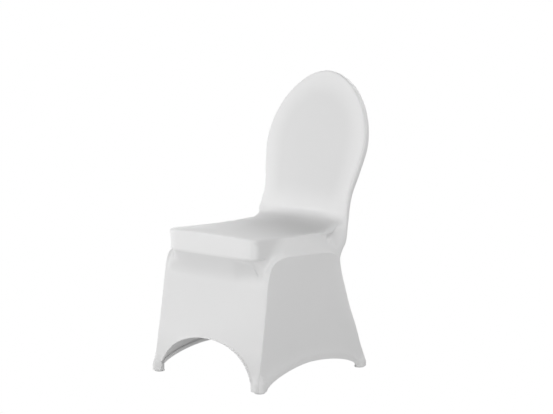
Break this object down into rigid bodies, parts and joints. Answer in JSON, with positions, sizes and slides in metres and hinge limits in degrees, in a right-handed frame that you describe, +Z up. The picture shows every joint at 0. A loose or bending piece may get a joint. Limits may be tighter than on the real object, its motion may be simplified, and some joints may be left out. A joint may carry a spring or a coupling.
{
  "type": "stretch chair cover",
  "caption": "Fitted stretch-cloth cover in the shape of a round-backed banquet chair, with a skirt cut in arches between the feet and a pocket at each foot.",
  "frame": {"origin": "middle of the cover's length and width, on the floor that its foot pockets stand on", "axes": "+Z up, -Y towards the front of the seat, +X to the right of someone who looks at the chair's front"},
  "size_m": [0.4772, 0.5917, 0.9287],
  "materials": {
    "stretch_cloth": "matt white warp-knit stretch cloth",
    "pocket_cloth": "matt white doubled stretch cloth"
  },
  "bodies": {
    "root": {"centre_panel": "stretch_cloth", "rear_panel": "stretch_cloth", "side_panel_right": "stretch_cloth", "side_panel_left": "stretch_cloth", "foot_pocket_front_right": "pocket_cloth", "foot_pocket_front_left": "pocket_cloth", "foot_pocket_rear_right": "pocket_cloth", "foot_pocket_rear_left": "pocket_cloth"}
  },
  "joints": []
}
